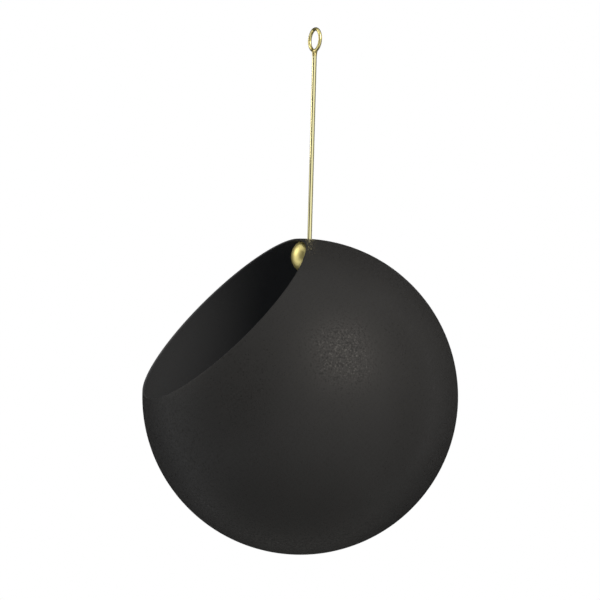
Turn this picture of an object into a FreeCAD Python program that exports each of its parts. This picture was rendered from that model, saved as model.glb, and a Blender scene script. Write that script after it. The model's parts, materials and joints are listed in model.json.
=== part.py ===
# Hanging planter: a thin globe with a slanted round mouth hangs on a brass rod.
# The rod passes through the top of the globe and ends inside it in a ball nut,
# on which the globe rests and turns. A ring is brazed to the rod's upper end.
# Millimetres. The origin is the centre of the ring, the rod runs down -Z and
# the mouth looks towards -Y.

import FreeCAD, Part
import math
import os
import Sketcher

Vector = FreeCAD.Vector
UP = Vector(0, 0, 1)

doc = FreeCAD.newDocument("hanging_planter")

# Driving dimensions

SIZES = [
    ("globe_diameter", 210.0, "outside of the globe"),
    ("wall_thickness", 1.2, "sheet of the globe"),
    ("rod_setback", 3.6, "rod axis behind the globe's centre"),
    ("rim_margin", 9.2, "rod axis forward to the highest point of the mouth's rim"),
    ("sill_drop", 3.3, "globe's centre down to the lowest point of the mouth's rim"),
    ("hang_drop", 133.0, "ring centre down to the globe's highest level"),
    ("rod_diameter", 3.0, "round brass rod"),
    ("rod_lead_in", 0.5, "chamfer at the rod's lower end"),
    ("swivel_clearance", 0.15, "radial gap between the rod and what turns on it"),
    ("ring_inner_diameter", 12.0, "eye of the ring"),
    ("ring_section", 2.4, "ring, from its eye to its outside"),
    ("ring_thickness", 2.4, "ring, along its axis"),
    ("ring_land", 0.7, "flat left between the ring's rounded edges"),
    ("ring_turn", 7.6, "ring turned about the rod, in degrees"),
    ("braze_gap", 0.05, "between the ring and the coped end of the rod"),
    ("neck_swell", 0.6, "brazed bead at its widest, beyond the rod"),
    ("neck_length", 2.2, "brazed bead below the ring"),
    ("neck_overlap", 1.3, "brazed bead up the sides of the ring"),
    ("neck_lip", 0.2, "thickness of the brazed bead at its two ends"),
    ("ball_diameter", 24.0, "ball nut"),
    ("ball_seat_diameter", 14.0, "flat on top of the ball nut"),
    ("ball_floor", 7.3, "metal below the ball nut's blind hole"),
    ("thread_clearance", 0.05, "radial gap in the ball nut's hole"),
    ("thread_runout", 1.0, "hole past the end of the rod"),
    ("washer_diameter", 10.5, "seat washer"),
    ("washer_thickness", 0.8, "seat washer, at the rod's axis"),
    ("washer_gap", 0.05, "between the washer and the inside of the globe"),
]

# Sizes, angles and levels that follow from the driving dimensions

DERIVED = [
    ("globe_radius", "globe_diameter / 2"),
    ("inner_radius", "globe_radius - wall_thickness"),
    ("globe_level", "-(hang_drop + globe_radius)"),
    ("rim_top_angle", "90 deg - asin((rim_margin - rod_setback) / globe_radius)"),
    ("rim_sill_angle", "-asin(sill_drop / globe_radius)"),
    ("mouth_elevation", "(rim_top_angle + rim_sill_angle) / 2"),
    ("mouth_half_angle", "(rim_top_angle - rim_sill_angle) / 2"),
    ("mouth_radius", "globe_radius * sin(mouth_half_angle)"),
    ("rod_radius", "rod_diameter / 2"),
    ("swivel_radius", "rod_radius + swivel_clearance"),
    ("ring_inner_radius", "ring_inner_diameter / 2"),
    ("ring_outer_radius", "ring_inner_radius + ring_section"),
    ("ring_edge_radius", "(min(ring_section; ring_thickness) - ring_land) / 2"),
    ("cope_radius", "ring_outer_radius + braze_gap"),
    ("bead_level", "-ring_outer_radius"),
    ("bead_bottom", "bead_level - neck_length"),
    ("bead_top", "bead_level + neck_overlap"),
    ("bead_foot", "rod_radius + neck_lip"),
    ("bead_bulge", "max(rod_radius; ring_thickness / 2) + neck_swell"),
    ("bead_brow", "ring_thickness / 2 + neck_lip"),
    ("seat_level", "globe_level + sqrt(inner_radius ^ 2 - rod_setback ^ 2)"
                   " - washer_gap - washer_thickness"),
    ("ball_radius", "ball_diameter / 2"),
    ("seat_radius", "ball_seat_diameter / 2"),
    ("ball_drop", "sqrt(ball_radius ^ 2 - seat_radius ^ 2)"),
    ("thread_radius", "rod_radius + thread_clearance"),
    ("thread_hole_depth", "ball_drop + ball_radius - ball_floor"),
    ("rod_length", "thread_hole_depth - thread_runout - seat_level"),
]

sheet = doc.addObject("Spreadsheet::Sheet", "sizes")
for row, (alias, value, meaning) in enumerate(SIZES, start=1):
    sheet.set(f"A{row}", alias)
    sheet.set(f"B{row}", str(value))
    sheet.set(f"C{row}", meaning)
    sheet.setAlias(f"B{row}", alias)
for row, (alias, formula) in enumerate(DERIVED, start=len(SIZES) + 1):
    sheet.set(f"A{row}", alias)
    sheet.set(f"B{row}", f"={formula}")
    sheet.setAlias(f"B{row}", alias)
doc.recompute()


def size(alias):
    """The value of one cell, to draw a sketch near its solved shape."""
    return FreeCAD.Units.Quantity(sheet.get(alias)).Value


# Helpers for bodies and sketches, with the sketcher's own numbers for its axes
# and for the points of a curve

ORIGIN_POINT = (-1, 1)
X_AXIS, Y_AXIS = range(-1, -3, -1)
START, END, CENTRE = range(1, 4)


def bind(obj, **formulas):
    """Tie properties to the sheet; a double underscore stands for a dot."""
    for path, formula in formulas.items():
        obj.setExpression(path.replace("__", "."), formula)


def new_body(label):
    body = doc.addObject("PartDesign::Body", label)
    body.Label = label
    return body


def turn_with_ring(obj):
    """Turn a piece about the rod by the same angle as the ring."""
    obj.Placement = FreeCAD.Placement(Vector(), FreeCAD.Rotation(UP, size("ring_turn")))
    bind(obj, Placement__Rotation__Angle="sizes.ring_turn")


def new_sketch(body, name, plane):
    sketch = body.newObject("Sketcher::SketchObject", name)
    support = next(f for f in body.Origin.OriginFeatures if f.Role == plane)
    sketch.AttachmentSupport = [(support, "")]
    sketch.MapMode = "FlatFace"
    return sketch


def line(sketch, first, second, construction=False):
    return sketch.addGeometry(Part.LineSegment(Vector(*first), Vector(*second)), construction)


def arc(sketch, centre, radius, first_angle, last_angle):
    """Counter-clockwise arc between two angles in degrees."""
    whole = Part.Circle(Vector(*centre), UP, radius)
    ends = math.radians(first_angle), math.radians(last_angle)
    return sketch.addGeometry(Part.ArcOfCircle(whole, *ends))


def circle(sketch, centre, radius):
    return sketch.addGeometry(Part.Circle(Vector(*centre), UP, radius))


def rule(sketch, kind, *where):
    """Geometric constraint without a size."""
    sketch.addConstraint(Sketcher.Constraint(kind, *where))


def measure(sketch, name, formula, kind, *where):
    """Dimension that follows the sheet; where ends in its first value."""
    index = sketch.addConstraint(Sketcher.Constraint(kind, *where))
    sketch.renameConstraint(index, name)
    sketch.setExpression(f"Constraints.{name}", formula)


def closed(sketch, *ends):
    """Join the given pairs of curve ends."""
    for first, second in ends:
        rule(sketch, "Coincident", *first, *second)


def spin(body, sketch, name, axis="V_Axis"):
    feature = body.newObject("PartDesign::Revolution", name)
    feature.Profile = sketch
    feature.ReferenceAxis = (sketch, [axis])
    feature.Angle = 360
    doc.recompute()
    return feature


def cut(label, base, tool):
    piece = doc.addObject("Part::Cut", label)
    piece.Base = base
    piece.Tool = tool
    return piece


# Globe shell: the wall's section is spun about the mouth's slanted axis, with
# a fully rounded rim, and then drilled for the rod through its top only.

def make_globe_shell():
    body = new_body("globe_shell")
    bind(body, Placement__Base__y="-sizes.rod_setback", Placement__Base__z="sizes.globe_level")

    outer = size("globe_radius")
    inner = size("inner_radius")
    axis_angle = 180 - size("mouth_elevation")
    rim_angle = axis_angle + size("mouth_half_angle")
    back_angle = axis_angle + 180

    def polar(radius, angle):
        turn = math.radians(angle)
        return radius * math.cos(turn), radius * math.sin(turn), 0

    section = new_sketch(body, "wall_section", "YZ_Plane")
    axis = line(section, (0, 0, 0), polar(outer, axis_angle), construction=True)
    outside = arc(section, (0, 0, 0), outer, rim_angle, back_angle)
    inside = arc(section, (0, 0, 0), inner, rim_angle, back_angle)
    back = line(section, polar(inner, back_angle), polar(outer, back_angle))
    rim = arc(section, polar((outer + inner) / 2, rim_angle), (outer - inner) / 2,
              rim_angle - 180, rim_angle)

    rule(section, "Coincident", axis, START, *ORIGIN_POINT)
    for curve in (outside, inside):
        rule(section, "Coincident", curve, CENTRE, *ORIGIN_POINT)
    rule(section, "PointOnObject", axis, END, outside)
    rule(section, "PointOnObject", back, START, axis)
    rule(section, "PointOnObject", back, END, axis)
    closed(section, [(back, START), (inside, END)], [(back, END), (outside, END)])
    rule(section, "Tangent", rim, END, outside, START)
    rule(section, "Tangent", rim, START, inside, START)
    measure(section, "outer_radius", "sizes.globe_radius", "Radius", outside, outer)
    measure(section, "inner_radius", "sizes.inner_radius", "Radius", inside, inner)
    measure(section, "mouth_radius", "sizes.mouth_radius",
            "Distance", outside, START, axis, size("mouth_radius"))
    measure(section, "mouth_axis", "180 deg - sizes.mouth_elevation",
            "Angle", X_AXIS, START, axis, START, math.radians(axis_angle))
    spin(body, section, "shell", "Axis0")

    drill = new_sketch(body, "rod_hole_place", "XY_Plane")
    hole = circle(drill, (0, size("rod_setback"), 0), size("swivel_radius"))
    rule(drill, "PointOnObject", hole, CENTRE, Y_AXIS)
    measure(drill, "setback", "sizes.rod_setback",
            "DistanceY", *ORIGIN_POINT, hole, CENTRE, size("rod_setback"))
    measure(drill, "hole_radius", "sizes.swivel_radius", "Radius", hole, size("swivel_radius"))
    rod_hole = body.newObject("PartDesign::Pocket", "rod_hole")
    rod_hole.Profile = drill
    rod_hole.Type = "ThroughAll"
    rod_hole.Reversed = True
    return body


# Hanging ring: a flat annulus whose edges are rounded almost to a round section.

def make_hanging_ring():
    body = new_body("hanging_ring")
    turn_with_ring(body)
    face = new_sketch(body, "ring_face", "XZ_Plane")
    eye = circle(face, (0, 0, 0), size("ring_inner_radius"))
    outside = circle(face, (0, 0, 0), size("ring_outer_radius"))
    for curve in (eye, outside):
        rule(face, "Coincident", curve, CENTRE, *ORIGIN_POINT)
    measure(face, "eye", "sizes.ring_inner_radius", "Radius", eye, size("ring_inner_radius"))
    measure(face, "outside", "sizes.ring_outer_radius", "Radius", outside, size("ring_outer_radius"))
    blank = body.newObject("PartDesign::Pad", "ring_blank")
    blank.Profile = face
    blank.Midplane = True
    bind(blank, Length="sizes.ring_thickness")
    doc.recompute()

    edges = [f"Edge{i}" for i, edge in enumerate(blank.Shape.Edges, start=1)
             if edge.Curve.TypeId == "Part::GeomCircle"]
    rounding = body.newObject("PartDesign::Fillet", "ring_edges")
    rounding.Base = (blank, edges)
    bind(rounding, Radius="sizes.ring_edge_radius")
    return body


# Suspension rod: round bar, chamfered below for its thread and coped above to
# the outside of the ring.

def make_suspension_rod():
    body = new_body("suspension_rod")
    turn_with_ring(body)
    bar_end = new_sketch(body, "rod_end", "XY_Plane")
    edge = circle(bar_end, (0, 0, 0), size("rod_radius"))
    rule(bar_end, "Coincident", edge, CENTRE, *ORIGIN_POINT)
    measure(bar_end, "rod_radius", "sizes.rod_radius", "Radius", edge, size("rod_radius"))
    bar = body.newObject("PartDesign::Pad", "rod_bar")
    bar.Profile = bar_end
    bar.Reversed = True
    bind(bar, Length="sizes.rod_length")
    doc.recompute()

    lowest = min(range(len(bar.Shape.Edges)), key=lambda i: bar.Shape.Edges[i].BoundBox.ZMax)
    lead_in = body.newObject("PartDesign::Chamfer", "rod_lead_in")
    lead_in.Base = (bar, [f"Edge{lowest + 1}"])
    bind(lead_in, Size="sizes.rod_lead_in")

    cope = new_sketch(body, "cope_circle", "XZ_Plane")
    ring_space = circle(cope, (0, 0, 0), size("cope_radius"))
    rule(cope, "Coincident", ring_space, CENTRE, *ORIGIN_POINT)
    measure(cope, "ring_space", "sizes.cope_radius", "Radius", ring_space, size("cope_radius"))
    coped_end = body.newObject("PartDesign::Pocket", "coped_end")
    coped_end.Profile = cope
    coped_end.Type = "ThroughAll"
    coped_end.Midplane = True
    return body


# Brazed neck: a bead spun about the rod, which flares from the rod in a hollow
# curve and closes round the ring's sides, with the ring and the rod taken out.

def make_braze_neck(ring, rod):
    bead = new_body("bead")
    turn_with_ring(bead)
    foot, bulge, brow = size("bead_foot"), size("bead_bulge"), size("bead_brow")
    bottom, middle, top = size("bead_bottom"), size("bead_level"), size("bead_top")

    def upright_arc(inset, rise):
        """Radius and sweep of an arc that starts upright and ends inset and rise away."""
        radius = (inset ** 2 + rise ** 2) / (2 * inset)
        return radius, math.degrees(math.asin(rise / radius))

    flare_radius, flare_sweep = upright_arc(bulge - foot, middle - bottom)
    crown_radius, crown_sweep = upright_arc(bulge - brow, top - middle)

    half = new_sketch(bead, "bead_section", "XZ_Plane")
    base = line(half, (0, bottom, 0), (foot, bottom, 0))
    flare = arc(half, (foot + flare_radius, bottom, 0), flare_radius, 180 - flare_sweep, 180)
    crown = arc(half, (bulge - crown_radius, middle, 0), crown_radius, 0, crown_sweep)
    lid = line(half, (brow, top, 0), (0, top, 0))
    core = line(half, (0, top, 0), (0, bottom, 0))
    closed(half, [(base, END), (flare, END)], [(flare, START), (crown, START)],
           [(crown, END), (lid, START)], [(lid, END), (core, START)], [(core, END), (base, START)])
    rule(half, "Horizontal", flare, CENTRE, flare, END)
    rule(half, "Horizontal", crown, CENTRE, crown, START)
    for level in (base, lid):
        rule(half, "Horizontal", level)
    rule(half, "PointOnObject", core, START, Y_AXIS)
    rule(half, "PointOnObject", core, END, Y_AXIS)
    for curve, end, reach, level in [(flare, END, "bead_foot", "bead_bottom"),
                                     (crown, START, "bead_bulge", "bead_level"),
                                     (crown, END, "bead_brow", "bead_top")]:
        measure(half, reach, f"sizes.{reach}", "DistanceX", *ORIGIN_POINT, curve, end, size(reach))
        measure(half, level, f"-sizes.{level}", "DistanceY", curve, end, *ORIGIN_POINT, -size(level))
    spin(bead, half, "bead_form")
    return cut("braze_neck", cut("bead_off_ring", bead, ring), rod)


# Ball nut: a ball with a flat seat on top and a blind hole for the rod's thread.

def make_ball_nut():
    body = new_body("ball_nut")
    bind(body, Placement__Base__z="sizes.seat_level")
    radius = size("ball_radius")
    seat = size("seat_radius")
    drop = size("ball_drop")
    seat_angle = math.degrees(math.atan2(drop, seat))

    half = new_sketch(body, "ball_section", "XZ_Plane")
    flat = line(half, (0, 0, 0), (seat, 0, 0))
    round_side = arc(half, (0, -drop, 0), radius, -90, seat_angle)
    core = line(half, (0, -drop - radius, 0), (0, 0, 0))
    closed(half, [(flat, END), (round_side, END)], [(round_side, START), (core, START)],
           [(core, END), (flat, START)])
    rule(half, "Coincident", flat, START, *ORIGIN_POINT)
    rule(half, "Horizontal", flat)
    rule(half, "Vertical", core)
    rule(half, "PointOnObject", round_side, CENTRE, Y_AXIS)
    measure(half, "seat", "sizes.seat_radius", "DistanceX", flat, START, flat, END, seat)
    measure(half, "ball", "sizes.ball_radius", "Radius", round_side, radius)
    spin(body, half, "ball")

    drill = new_sketch(body, "thread_place", "XY_Plane")
    mark = circle(drill, (0, 0, 0), size("thread_radius"))
    rule(drill, "Coincident", mark, CENTRE, *ORIGIN_POINT)
    measure(drill, "mark", "sizes.thread_radius", "Radius", mark, size("thread_radius"))
    doc.recompute()
    hole = body.newObject("PartDesign::Hole", "thread_hole")
    hole.Profile = drill
    hole.DepthType = "Dimension"
    hole.DrillPoint = "Angled"
    bind(hole, Diameter="2 * sizes.thread_radius", Depth="sizes.thread_hole_depth")
    return body


# Seat washer: flat below, on the ball nut, and round above to fit the shell.

def make_seat_washer():
    disc = doc.addObject("Part::Cylinder", "washer_disc")
    bind(disc, Radius="sizes.washer_diameter / 2", Height="sizes.washer_thickness + sizes.washer_diameter",
         Placement__Base__z="sizes.seat_level")
    hole = doc.addObject("Part::Cylinder", "washer_hole")
    bind(hole, Radius="sizes.swivel_radius", Height="sizes.washer_thickness + sizes.washer_diameter",
         Placement__Base__z="sizes.seat_level")
    hollow = doc.addObject("Part::Sphere", "shell_inside")
    bind(hollow, Radius="sizes.inner_radius - sizes.washer_gap",
         Placement__Base__y="-sizes.rod_setback", Placement__Base__z="sizes.globe_level")
    washer = doc.addObject("Part::Common", "seat_washer")
    washer.Base = cut("washer_blank", disc, hole)
    washer.Tool = hollow
    return washer


ring = make_hanging_ring()
rod = make_suspension_rod()
neck = make_braze_neck(ring, rod)
ball = make_ball_nut()
washer = make_seat_washer()
shell = make_globe_shell()
pieces = [shell, rod, ring, neck, ball, washer]
doc.recompute()

# Check, then write one file for each piece

for obj in doc.Objects:
    if "Invalid" in obj.State or "Error" in obj.State:
        raise RuntimeError(f"{obj.Name} failed: {obj.State}")
for piece in pieces:
    if piece.Shape.isNull() or not piece.Shape.isValid() or len(piece.Shape.Solids) != 1:
        raise RuntimeError(f"{piece.Label} is not one sound solid")

os.makedirs("parts", exist_ok=True)
for piece in pieces:
    piece.Shape.exportStep(f"parts/{piece.Label}.step")
    box = piece.Shape.optimalBoundingBox()
    print(f"{piece.Label}: {piece.Shape.Volume:.1f} mm3, z {box.ZMin:.2f} to {box.ZMax:.2f}")
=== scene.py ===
# %% [markdown]
# # A hanging globe planter
# A thin black globe hangs on a slim brass rod and can be turned on it by hand. Its solids
# already exist at their real size, so this lesson loads them as a fixed frame and gives
# every piece the surface of the real one. Lengths are in metres, and MM turns millimetres
# into them.

# %% Load the frame
import json
import math

import bmesh
import bpy
from mathutils import Matrix, Vector


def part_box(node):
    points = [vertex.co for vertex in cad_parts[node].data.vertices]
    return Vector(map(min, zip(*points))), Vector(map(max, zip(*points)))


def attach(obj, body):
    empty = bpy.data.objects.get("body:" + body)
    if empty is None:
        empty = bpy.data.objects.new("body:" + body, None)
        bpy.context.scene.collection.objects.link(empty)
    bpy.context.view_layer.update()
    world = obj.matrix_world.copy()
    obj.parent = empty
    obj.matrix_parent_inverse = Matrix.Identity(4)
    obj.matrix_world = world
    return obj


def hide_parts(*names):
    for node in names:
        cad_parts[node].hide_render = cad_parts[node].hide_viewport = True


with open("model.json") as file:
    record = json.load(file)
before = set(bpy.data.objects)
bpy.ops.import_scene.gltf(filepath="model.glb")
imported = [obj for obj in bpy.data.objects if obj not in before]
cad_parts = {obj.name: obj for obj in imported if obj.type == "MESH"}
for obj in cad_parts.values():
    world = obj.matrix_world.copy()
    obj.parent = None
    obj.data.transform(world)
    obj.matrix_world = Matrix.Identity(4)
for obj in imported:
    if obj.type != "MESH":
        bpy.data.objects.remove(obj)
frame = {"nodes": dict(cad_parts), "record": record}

MM = 0.001
UP = Vector((0, 0, 1))
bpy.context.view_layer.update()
print("Pieces:", ", ".join(sorted(frame["nodes"])))

# %% [markdown]
# ## Working with operators
# Operators do what the mouse and the menus do, and they act on all that is selected.
# Loading leaves the CAD nodes selected, so each piece starts with an empty selection, and
# in edit mode the wanted edges are found by where they lie.

# %% Helpers for modelling
SMOOTH_ANGLE = math.radians(35)


def start_piece():
    """Select nothing, so that the next primitive is alone."""
    bpy.ops.object.select_all(action="DESELECT")


def place_in_mesh():
    """Move the active object's place, turn and scale into its mesh."""
    bpy.ops.object.transform_apply(location=True, rotation=True, scale=True)


def edit_all():
    """Enter edit mode with the whole mesh selected."""
    bpy.ops.object.mode_set(mode="EDIT")
    bpy.ops.mesh.select_all(action="SELECT")


def leave_edit():
    """Go back to object mode."""
    bpy.ops.object.mode_set(mode="OBJECT")


def use_modifier(kind, **settings):
    """Add a modifier to the active piece, set it and apply it."""
    modifier = bpy.context.object.modifiers.new(kind.lower(), kind)
    for name, value in settings.items():
        setattr(modifier, name, value)
    bpy.ops.object.modifier_apply(modifier=modifier.name)


def finish_piece(name, body, node):
    """Name and shade the active piece, and let it stand for its CAD node."""
    piece = bpy.context.object
    piece.name = piece.data.name = name
    bpy.ops.object.shade_smooth_by_angle(angle=SMOOTH_ANGLE)
    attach(piece, body)
    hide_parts(node)
    print(f"{name}: {len(piece.data.polygons)} faces in place of {node}")


# %% [markdown]
# ## The globe
# The real globe is spun from one steel sheet and cut off at a slant, which leaves a round
# mouth that looks forward and up. Its radius and centre are read from the frame, because
# numbers typed a second time could drift away from the solids. The mouth's axis follows
# from the two points where its rim is highest and lowest.

# %% Measures of the globe
WALL = 1.2 * MM
RIM_MARGIN = 9.2 * MM
SILL_DROP = 3.3 * MM

globe_low, globe_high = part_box("globe_shell")
globe_radius = (globe_high.z - globe_low.z) / 2
globe_centre = Vector((0, globe_high.y - globe_radius, globe_high.z - globe_radius))

rim_top = math.acos((RIM_MARGIN + globe_centre.y) / globe_radius)
rim_sill = -math.asin(SILL_DROP / globe_radius)
mouth_elevation = (rim_top + rim_sill) / 2
mouth_half_angle = (rim_top - rim_sill - WALL / globe_radius) / 2
mouth_axis = Vector((0, -math.cos(mouth_elevation), math.sin(mouth_elevation)))
mouth_centre = globe_centre + mouth_axis * globe_radius * math.cos(mouth_half_angle)
print(f"Globe radius {globe_radius / MM:.1f} mm")
print(f"Mouth {math.degrees(mouth_elevation):.1f} degrees up")

# %% [markdown]
# The shell could be spun from a drawn profile or cut from a sphere. A sphere whose poles
# lie on the mouth's axis has rings of faces that run parallel to the rim, so one straight
# Bisect leaves a clean round edge. Solidify then gives the skin its sheet thickness
# inwards, so that the outside keeps its size.

# %% Globe: sphere, mouth and wall
GLOBE_SEGMENTS = 192
GLOBE_RINGS = 96
INWARDS = -1.0

start_piece()
bpy.ops.mesh.primitive_uv_sphere_add(
    segments=GLOBE_SEGMENTS, ring_count=GLOBE_RINGS, radius=globe_radius,
    location=globe_centre, rotation=(math.pi / 2 - mouth_elevation, 0, 0))
place_in_mesh()
edit_all()
bpy.ops.mesh.bisect(plane_co=mouth_centre, plane_no=mouth_axis, clear_outer=True)
leave_edit()
use_modifier("SOLIDIFY", thickness=WALL, offset=INWARDS, use_even_offset=True)
globe = bpy.context.object
print("Globe with its wall:", len(globe.data.polygons), "faces")

# %% [markdown]
# Powder runs round a cut edge and rounds it. A Bevel modifier could find such an edge by
# its angle. Here it is selected by its place, so that no other edge can slip in: the two
# circles of the rim, one on each side of the sheet, are bevelled until they nearly meet.
# Their edges lie at the mouth's angle and stay at one distance from the globe's centre.

# %% Globe: rounded rim
RIM_FLAT = 0.1 * MM
RIM_STEPS = 5
ROUND_PROFILE = 0.5
SAME_ANGLE = math.radians(0.2)


def runs_along_rim(edge):
    """Whether both ends of an edge lie on the mouth, on the same side of the sheet."""
    spokes = [corner.co - globe_centre for corner in edge.verts]
    off_mouth = [abs(spoke.angle(mouth_axis) - mouth_half_angle) for spoke in spokes]
    return max(off_mouth) < SAME_ANGLE and abs(spokes[0].length - spokes[1].length) < WALL / 2


bpy.ops.object.mode_set(mode="EDIT")
bpy.ops.mesh.select_mode(type="EDGE")
bpy.ops.mesh.select_all(action="DESELECT")
shape = bmesh.from_edit_mesh(globe.data)
rim_edges = [edge for edge in shape.edges if runs_along_rim(edge)]
for edge in rim_edges:
    edge.select_set(True)
bmesh.update_edit_mesh(globe.data)
print("Edges along the rim:", len(rim_edges))
bpy.ops.mesh.bevel(offset=(WALL - RIM_FLAT) / 2, segments=RIM_STEPS, profile=ROUND_PROFILE)
leave_edit()

# %% [markdown]
# The rod goes through a small hole in the top. It could be cut face by face, but a Boolean
# is closer to the workshop: a cylinder is taken away there, as a drill would do it, and
# then deleted.

# %% Globe: hole for the rod
SWIVEL_GAP = 0.15 * MM
DRILL_LENGTH = 12 * MM
DRILL_SIDES = 64

rod_low, rod_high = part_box("suspension_rod")
rod_radius = (rod_high.x - rod_low.x) / 2
start_piece()
bpy.ops.mesh.primitive_cylinder_add(
    vertices=DRILL_SIDES, radius=rod_radius + SWIVEL_GAP, depth=DRILL_LENGTH,
    location=(0, 0, globe_high.z))
drill = bpy.context.object
start_piece()
globe.select_set(True)
bpy.context.view_layer.objects.active = globe
use_modifier("BOOLEAN", operation="DIFFERENCE", object=drill, solver="EXACT")
bpy.data.objects.remove(drill)
finish_piece("spun_globe", "globe", "globe_shell")

# %% [markdown]
# ## The hanging ring
# The ring is bent from round brass wire. Its measures are those of the mount that the
# record names, and it is turned a little on the rod. A torus would come near it, but a
# circle, the wire's section, spun about the ring's axis follows how the wire was bent. The
# spin's two ends lie on each other, so their points are merged, and the normals are worked
# out again.

# %% Hanging ring
WIRE_SIDES = 40
RING_STEPS = 160
SAME_POINT = 0.001 * MM

hanging_eye = frame["record"]["mounts"][0]
eye_radius = hanging_eye["dims"]["r_mm"] * MM
ring_axis = Vector(hanging_eye["axis"]).normalized()
ring_side = ring_axis.cross(UP)
wire_radius = (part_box("hanging_ring")[1].z - eye_radius) / 2
ring_radius = eye_radius + wire_radius

start_piece()
bpy.ops.mesh.primitive_circle_add(
    vertices=WIRE_SIDES, radius=wire_radius, location=UP * ring_radius,
    rotation=ring_side.to_track_quat("Z", "Y").to_euler())
place_in_mesh()
edit_all()
bpy.ops.mesh.spin(steps=RING_STEPS, angle=2 * math.pi, center=(0, 0, 0), axis=ring_axis)
bpy.ops.mesh.select_all(action="SELECT")
bpy.ops.mesh.remove_doubles(threshold=SAME_POINT)
bpy.ops.mesh.normals_make_consistent(inside=False)
leave_edit()
finish_piece("wire_ring", "hanger", "hanging_ring")

# %% [markdown]
# ## The brazed neck
# Molten brazing metal creeps along the ring and the rod and sets in a hollow curve. No
# primitive has that shape. So a lens along the ring and a cone down the rod are joined,
# remeshed into one skin and smoothed, which rounds the crease between them as the melt did.

# %% Brazed neck
LENS_HALF_LENGTH = 3.3 * MM
LENS_OVER_WIRE = 0.3 * MM
LENS_HEIGHT_IN_WIRE = 0.8
CONE_OVER_ROD = 0.3 * MM
CONE_LENGTH = 3.2 * MM
NECK_SIDES = 48
NECK_VOXEL = 0.07 * MM
MELT_PULL = 0.5
MELT_ROUNDS = 12

ring_foot = -ring_radius - wire_radius
start_piece()
bpy.ops.mesh.primitive_cone_add(
    vertices=NECK_SIDES, radius1=rod_radius, radius2=rod_radius + CONE_OVER_ROD,
    depth=CONE_LENGTH, location=UP * (ring_foot + wire_radius / 2 - CONE_LENGTH / 2))
cone = bpy.context.object
start_piece()
bpy.ops.mesh.primitive_uv_sphere_add(
    segments=NECK_SIDES, ring_count=NECK_SIDES // 2, radius=wire_radius + LENS_OVER_WIRE,
    location=UP * (ring_foot + wire_radius * LENS_HEIGHT_IN_WIRE),
    rotation=(0, 0, math.atan2(ring_side.y, ring_side.x)))
lens = bpy.context.object
lens.scale.x = LENS_HALF_LENGTH / (wire_radius + LENS_OVER_WIRE)
cone.select_set(True)
bpy.ops.object.join()
place_in_mesh()
use_modifier("REMESH", mode="VOXEL", voxel_size=NECK_VOXEL)
use_modifier("SMOOTH", factor=MELT_PULL, iterations=MELT_ROUNDS)
finish_piece("brazed_neck", "hanger", "braze_neck")

# %% [markdown]
# ## Materials
# Every finish is drawn by nodes, so that it has no picture to stretch or blur. Colours are
# written as the sRGB hex values that a paint chart or a picture shows, and one function
# turns them into the linear numbers that Blender's sockets hold. Another adds a node: a
# socket given a number keeps it, and a socket given another node's output is linked to it.
# A Mix node repeats its socket names for numbers, vectors and colours, so the ones for
# colours are found by their place in the list.

# %% Helpers for materials
FACTOR, COLOUR_A, COLOUR_B = 0, 6, 7
COLOUR_OUT = 2


def linear(hex_code):
    """The linear colour of an sRGB hex value."""
    channels = [int(hex_code[place:place + 2], 16) / 255 for place in (1, 3, 5)]
    return [c / 12.92 if c <= 0.04045 else ((c + 0.055) / 1.055) ** 2.4 for c in channels] + [1.0]


def per_metre(size):
    """Texture scale at which a pattern's features are about this size in millimetres."""
    return 1 / (size * MM)


def add_node(tree, kind, inputs, **settings):
    """Add a shader node, set its fields, and fill or link its inputs."""
    node = tree.nodes.new("ShaderNode" + kind)
    for name, value in settings.items():
        setattr(node, name, value)
    for name, value in inputs.items():
        if isinstance(value, bpy.types.NodeSocket):
            tree.links.new(value, node.inputs[name])
        else:
            node.inputs[name].default_value = value
    return node


def new_material(name):
    """An empty node tree, and the place of each point in the piece's own frame."""
    material = bpy.data.materials.new(name)
    material.use_nodes = True
    tree = material.node_tree
    tree.nodes.clear()
    return material, tree, add_node(tree, "TexCoord", {}).outputs["Object"]


# %% [markdown]
# ### Black powder coat
# Polyester powder baked on steel: near black, matte, with a sandy grit that sparkles only
# where a lamp is mirrored. A dielectric coat keeps the usual IOR of 1.5, and the grit
# scatters its reflection, so it is rough and its specular level is low. One noise drives
# both bump and roughness. Where it is low, the powder has run smooth and glints. Where it
# is high, a grain stands up and is dull. Real grit is finer than a pixel here, so it is
# drawn about a millimetre wide, which shows in the render. A second noise, a few
# centimetres wide, makes the coat uneven. The inside of the globe wears the same black
# coat, but its colour is painted lighter and a little cooler there. That is painted fill
# light: it stands in for the light that hardly reaches in, and offsets the warm lamps.
# The distance from the globe's centre tells the two skins apart.

# %% Black powder coat
GRIT = 1.2
GRIT_DETAIL = 2.0
GRIT_STRENGTH = 0.6
GRIT_HEIGHT = 0.06 * MM
GLINT_BELOW = 0.32
GLINT_END = 0.43
GRAIN_START = 0.54
GRAIN_ABOVE = 0.66
GLINT_ROUGH = 0.24
COAT_ROUGH = 0.49
GRAIN_ROUGH = 0.74
COAT_GLOSS = 0.135
COAT_PATCH = 30.0
COAT_PATCH_DETAIL = 3.0
OUTER_DEEP = "#252525"
OUTER_WORN = "#2a2a2a"
# Painted fill light: the inside's colour, lighter and cooler than the real black coat.
INNER_PAINTED_FILL = "#4c4e51"


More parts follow.
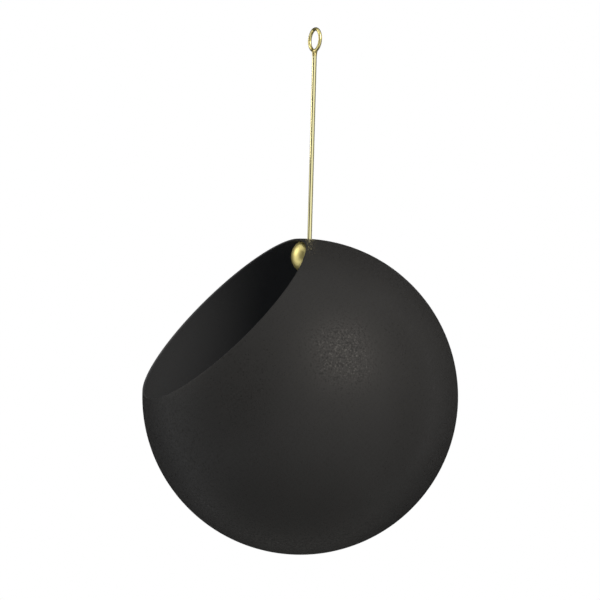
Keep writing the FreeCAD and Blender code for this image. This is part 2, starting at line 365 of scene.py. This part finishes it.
def black_powder_coat():
    material, tree, place = new_material("black_powder_coat")
    patch = add_node(tree, "TexNoise", {
        "Vector": place, "Scale": per_metre(COAT_PATCH), "Detail": COAT_PATCH_DETAIL})
    grit = add_node(tree, "TexNoise", {
        "Vector": place, "Scale": per_metre(GRIT), "Detail": GRIT_DETAIL})
    outer = add_node(tree, "Mix", {
        FACTOR: patch.outputs["Fac"], COLOUR_A: linear(OUTER_DEEP),
        COLOUR_B: linear(OUTER_WORN)}, data_type="RGBA")
    spoke = add_node(tree, "VectorMath", {0: place, 1: globe_centre}, operation="DISTANCE")
    # Mask for the painted fill light: 0 on the inner skin, 1 on the outer one.
    outside_vs_painted_inside = add_node(tree, "MapRange", {
        "Value": spoke.outputs["Value"], "From Min": globe_radius - WALL,
        "From Max": globe_radius})
    # The inner skin gets the painted fill colour, the outer skin the coat's own black.
    colour = add_node(tree, "Mix", {
        FACTOR: outside_vs_painted_inside.outputs["Result"], COLOUR_A: linear(INNER_PAINTED_FILL),
        COLOUR_B: outer.outputs[COLOUR_OUT]}, data_type="RGBA")
    glints = add_node(tree, "MapRange", {
        "Value": grit.outputs["Fac"], "From Min": GLINT_BELOW, "From Max": GLINT_END,
        "To Min": GLINT_ROUGH, "To Max": COAT_ROUGH})
    rough = add_node(tree, "MapRange", {
        "Value": grit.outputs["Fac"], "From Min": GRAIN_START, "From Max": GRAIN_ABOVE,
        "To Min": glints.outputs["Result"], "To Max": GRAIN_ROUGH})
    bump = add_node(tree, "Bump", {
        "Height": grit.outputs["Fac"], "Strength": GRIT_STRENGTH, "Distance": GRIT_HEIGHT})
    shader = add_node(tree, "BsdfPrincipled", {
        "Base Color": colour.outputs[COLOUR_OUT], "Roughness": rough.outputs["Result"],
        "Specular IOR Level": COAT_GLOSS, "Normal": bump.outputs["Normal"]})
    add_node(tree, "OutputMaterial", {"Surface": shader.outputs["BSDF"]})
    return material


# %% [markdown]
# ### Brass
# The rod is drawn through a die, which leaves fine lines along it and a bright shine. The
# ring is tumbled bright, the ball is turned, which leaves fine rings around it and a satin
# shine, and the brazing metal is a little darker and duller. All four are one alloy family
# under different tools, so one function makes them: its mark sizes along X, Y and Z
# stretch one noise into lines, rings or specks. The marks are drawn coarser than real
# ones, so that they show in the render. A wider noise mixes the light and the dark tone,
# as a thin tarnish does. Each finish has a name that the loaded frame doesn't use, because
# Blender adds a number to a name that is taken.

# %% Brass finishes
MARK_DETAIL = 1.0
MARK_STRENGTH = 0.5
TARNISH = 9.0
TARNISH_DETAIL = 4.0


def brass(name, light, dark, marks, roughness, mark_height):
    """Brass with tool marks of the given sizes in millimetres along X, Y and Z."""
    material, tree, place = new_material(name)
    stretched = add_node(tree, "Mapping", {
        "Vector": place, "Scale": [per_metre(size) for size in marks]})
    lines = add_node(tree, "TexNoise", {
        "Vector": stretched.outputs["Vector"], "Scale": 1.0, "Detail": MARK_DETAIL})
    tarnish = add_node(tree, "TexNoise", {
        "Vector": place, "Scale": per_metre(TARNISH), "Detail": TARNISH_DETAIL})
    colour = add_node(tree, "Mix", {
        FACTOR: tarnish.outputs["Fac"], COLOUR_A: linear(light),
        COLOUR_B: linear(dark)}, data_type="RGBA")
    rough = add_node(tree, "MapRange", {
        "Value": lines.outputs["Fac"], "To Min": roughness[0], "To Max": roughness[1]})
    bump = add_node(tree, "Bump", {
        "Height": lines.outputs["Fac"], "Strength": MARK_STRENGTH, "Distance": mark_height})
    shader = add_node(tree, "BsdfPrincipled", {
        "Base Color": colour.outputs[COLOUR_OUT], "Metallic": 1.0,
        "Roughness": rough.outputs["Result"], "Normal": bump.outputs["Normal"]})
    add_node(tree, "OutputMaterial", {"Surface": shader.outputs["BSDF"]})
    return material


drawn_brass = brass(
    "drawn_brass", light="#f6efb8", dark="#ebe2a8", marks=(0.8, 0.8, 60.0),
    roughness=(0.02, 0.06), mark_height=0.002 * MM)
tumbled_brass = brass(
    "tumbled_brass", light="#dcd292", dark="#cabc78", marks=(1.2, 1.2, 1.2),
    roughness=(0.16, 0.28), mark_height=0.004 * MM)
lathe_turned_brass = brass(
    "lathe_turned_brass", light="#ece09a", dark="#e1d288", marks=(60.0, 60.0, 0.5),
    roughness=(0.36, 0.48), mark_height=0.004 * MM)
brazing_metal = brass(
    "brazing_metal", light="#dccf92", dark="#c4b16c", marks=(0.6, 0.6, 0.6),
    roughness=(0.22, 0.4), mark_height=0.015 * MM)
for finish in (drawn_brass, tumbled_brass, lathe_turned_brass, brazing_metal):
    print("Brass finish:", finish.name)

# %% [markdown]
# ### Nylon
# The washer under the shell is natural nylon, punched from sheet: milky, a little waxy and
# faintly mottled. It hardly shows, but it is seen when the globe is looked into.

# %% Nylon
NYLON_LIGHT = "#e2dfd3"
NYLON_DARK = "#d3cfc1"
NYLON_IOR = 1.53
NYLON_ROUGH = 0.42
MOTTLE = 1.5
MOTTLE_DETAIL = 2.0
MOTTLE_STRENGTH = 0.2
MOTTLE_HEIGHT = 0.01 * MM


def natural_nylon():
    material, tree, place = new_material("natural_nylon")
    mottle = add_node(tree, "TexNoise", {
        "Vector": place, "Scale": per_metre(MOTTLE), "Detail": MOTTLE_DETAIL})
    colour = add_node(tree, "Mix", {
        FACTOR: mottle.outputs["Fac"], COLOUR_A: linear(NYLON_LIGHT),
        COLOUR_B: linear(NYLON_DARK)}, data_type="RGBA")
    bump = add_node(tree, "Bump", {
        "Height": mottle.outputs["Fac"], "Strength": MOTTLE_STRENGTH, "Distance": MOTTLE_HEIGHT})
    shader = add_node(tree, "BsdfPrincipled", {
        "Base Color": colour.outputs[COLOUR_OUT], "Roughness": NYLON_ROUGH, "IOR": NYLON_IOR,
        "Normal": bump.outputs["Normal"]})
    add_node(tree, "OutputMaterial", {"Surface": shader.outputs["BSDF"]})
    return material


# %% [markdown]
# ### Who wears what
# Rod, ball nut and washer are the CAD solids themselves: their shape is already right, so
# they only need a material. Every piece is one stock treated in one way, so it gets one
# finish all over. Its slots are emptied first, so that no material from loading stays.

# %% Give each piece its finish
finishes = {
    "spun_globe": black_powder_coat(),
    "wire_ring": tumbled_brass,
    "brazed_neck": brazing_metal,
    "suspension_rod": drawn_brass,
    "ball_nut": lathe_turned_brass,
    "seat_washer": natural_nylon(),
}
for name, material in finishes.items():
    piece = bpy.data.objects[name]
    piece.data.materials.clear()
    piece.data.materials.append(material)
    print(f"{name}: {material.name}")

# %% [markdown]
# ## Studio
# The planter hangs in the air in front of white. A picture of a studio could light it, but
# plain light shows the finishes as they are. A white world gives the fill light, and rays
# from the camera and from shiny surfaces see it at full white, so that the brass mirrors
# the background that the picture shows.

# %% World
FILL_LIGHT = 0.48

world = bpy.data.worlds.new("white_studio")
world.use_nodes = True
bpy.context.scene.world = world
tree = world.node_tree
tree.nodes.clear()
ray = add_node(tree, "LightPath", {}).outputs
seen = add_node(tree, "Math", {
    0: ray["Is Camera Ray"], 1: ray["Is Glossy Ray"]}, operation="MAXIMUM")
seen = add_node(tree, "Math", {
    0: seen.outputs["Value"], 1: ray["Is Transmission Ray"]}, operation="MAXIMUM")
strength = add_node(tree, "MapRange", {
    "Value": seen.outputs["Value"], "To Min": FILL_LIGHT, "To Max": 1.0})
white = add_node(tree, "Background", {
    "Color": (1, 1, 1, 1), "Strength": strength.outputs["Result"]})
add_node(tree, "OutputWorld", {"Surface": white.outputs["Background"]})
print("World: white, fill light", FILL_LIGHT)

# %% [markdown]
# A hanging planter stands on nothing, so the floor lies well below it. It throws a little
# light up at the globe and takes its soft shadow. A square floor would show its edge, so a
# round one fades out instead: its pale matte paint mixes into a clear shader as the
# distance from the middle grows.

# %% Floor
FLOOR_DROP = 0.6
FLOOR_RADIUS = 1.0
FLOOR_FADE = 0.4
FLOOR_SIDES = 128
FLOOR_PAINT = "#b6b6b4"

start_piece()
bpy.ops.mesh.primitive_circle_add(
    vertices=FLOOR_SIDES, radius=FLOOR_RADIUS, fill_type="NGON",
    location=(0, 0, globe_low.z - FLOOR_DROP))
place_in_mesh()
floor = bpy.context.object
floor.name = "floor"
material, tree, place = new_material("pale_floor")
reach = add_node(tree, "VectorMath", {0: place, 1: (1, 1, 0)}, operation="MULTIPLY")
reach = add_node(tree, "VectorMath", {0: reach.outputs["Vector"]}, operation="LENGTH")
fade = add_node(tree, "MapRange", {
    "Value": reach.outputs["Value"], "From Min": FLOOR_FADE,
    "From Max": FLOOR_RADIUS}, interpolation_type="SMOOTHSTEP")
paint = add_node(tree, "BsdfDiffuse", {"Color": linear(FLOOR_PAINT)})
clear = add_node(tree, "BsdfTransparent", {})
mixed = add_node(tree, "MixShader", {
    0: fade.outputs["Result"], 1: paint.outputs["BSDF"], 2: clear.outputs["BSDF"]})
add_node(tree, "OutputMaterial", {"Surface": mixed.outputs["Shader"]})
floor.data.materials.append(material)
print(f"Floor: {FLOOR_RADIUS} m round, {FLOOR_DROP} m below the globe")

# %% [markdown]
# One large soft lamp stands to the right of the camera and above it: that is where the
# broad highlight on the globe points. A tall narrow one on the left draws the bright
# streak on the ball. They stand well away, because the edge of a nearer lamp shows in the
# rod.

# %% Lamps
LAMP_DISTANCE = 2.5
LAMP_COLOUR = linear("#fff6ea")[:3]
KEY_AZIMUTH = 102.0
KEY_ELEVATION = 32.0
KEY_SIZE = 1.52
KEY_POWER = 52.0
SIDE_AZIMUTH = 331.0
SIDE_ELEVATION = 22.0
SIDE_WIDTH = 0.286
SIDE_HEIGHT = 1.25
SIDE_POWER = 8.3


def direction(azimuth, elevation):
    """Unit vector towards a place round the object; azimuth 0 is in front, at -Y."""
    turn, rise = math.radians(azimuth), math.radians(elevation)
    return Vector((
        math.sin(turn) * math.cos(rise), -math.cos(turn) * math.cos(rise), math.sin(rise)))


def add_lamp(name, azimuth, elevation, width, height, power):
    """A soft lamp that looks at the globe."""
    away = direction(azimuth, elevation)
    start_piece()
    bpy.ops.object.light_add(
        type="AREA", location=globe_centre + away * LAMP_DISTANCE,
        rotation=away.to_track_quat("Z", "Y").to_euler())
    lamp = bpy.context.object
    lamp.name = name
    lamp.data.shape = "RECTANGLE"
    lamp.data.size = width
    lamp.data.size_y = height
    lamp.data.energy = power
    lamp.data.color = LAMP_COLOUR
    print(f"{name}: {power} W")


add_lamp("key_lamp", KEY_AZIMUTH, KEY_ELEVATION, KEY_SIZE, KEY_SIZE, KEY_POWER)
add_lamp("side_lamp", SIDE_AZIMUTH, SIDE_ELEVATION, SIDE_WIDTH, SIDE_HEIGHT, SIDE_POWER)

# %% [markdown]
# Polished metal in an all white room looks flat. Photographers stand black cards, called
# flags, around it. The upright ones draw the dark lines down the rod and the dark side of
# the ball, and those behind, above and below keep the white from washing over the globe's
# edges. They are hidden from the camera, which may stand behind one of them, and from
# diffuse rays, so that they show in the shine but don't dim the fill light. Their felt is
# drawn with coarser fibres than real felt has.

# %% Flags
FLAG_DISTANCE = 1.2
# Azimuth and elevation in degrees, width and height in metres.
FLAGS = {
    "front": (25, 10, 1.15, 1.5),
    "right": (155, 0, 0.66, 2.4),
    "back_right": (209, 0, 1.15, 2.4),
    "back_left": (289, 4, 1.05, 2.1),
    "overhead": (247, 45, 1.8, 1.5),
    "below": (249, -29, 1.4, 1.3),
}
FELT_DARK = "#1c1c1c"
FELT_LIGHT = "#2a2a2a"
FELT_FIBRE = 3.0
FELT_DETAIL = 3.0

material, tree, place = new_material("black_felt")
fibres = add_node(tree, "TexNoise", {
    "Vector": place, "Scale": per_metre(FELT_FIBRE), "Detail": FELT_DETAIL})
felt = add_node(tree, "Mix", {
    FACTOR: fibres.outputs["Fac"], COLOUR_A: linear(FELT_DARK),
    COLOUR_B: linear(FELT_LIGHT)}, data_type="RGBA")
matte = add_node(tree, "BsdfDiffuse", {"Color": felt.outputs[COLOUR_OUT]})
add_node(tree, "OutputMaterial", {"Surface": matte.outputs["BSDF"]})
for side, (azimuth, elevation, width, height) in FLAGS.items():
    away = direction(azimuth, elevation)
    start_piece()
    bpy.ops.mesh.primitive_plane_add(
        size=1.0, location=globe_centre + away * FLAG_DISTANCE,
        rotation=away.to_track_quat("Z", "Y").to_euler())
    flag = bpy.context.object
    flag.name = f"flag_{side}"
    flag.scale = (width, height, 1)
    place_in_mesh()
    flag.visible_camera = False
    flag.visible_diffuse = False
    flag.data.materials.append(material)
print("Flags:", ", ".join(FLAGS))

# %% [markdown]
# ## Camera
# The camera looks almost level, from the planter's right front. A long lens from 1.3 m
# gives the flat perspective of a product picture, and a small roll gives the rod its lean.
# Aiming a little beside and above the globe's centre puts the planter where the picture
# has it, with no need to shift the lens.

# %% Camera
VIEW_AZIMUTH = 69.2
VIEW_ELEVATION = -0.31
VIEW_ROLL = math.radians(1.56)
VIEW_DISTANCE = 1.3
LENS = 116.95
AIM_RIGHT = -1.86 * MM
AIM_UP = 64.0 * MM

back = direction(VIEW_AZIMUTH, VIEW_ELEVATION)
right = UP.cross(back).normalized()
aim = globe_centre + right * AIM_RIGHT + UP * AIM_UP
level = Matrix((right, back.cross(right), back)).transposed().to_4x4()
start_piece()
bpy.ops.object.camera_add()
camera = bpy.context.object
camera.matrix_world = (Matrix.Translation(aim + back * VIEW_DISTANCE) @ level
                       @ Matrix.Rotation(VIEW_ROLL, 4, "Z"))
camera.data.lens = LENS
bpy.context.scene.camera = camera
bpy.context.scene.view_settings.view_transform = "Standard"
print(f"Camera: {VIEW_DISTANCE} m away, lens {LENS} mm")
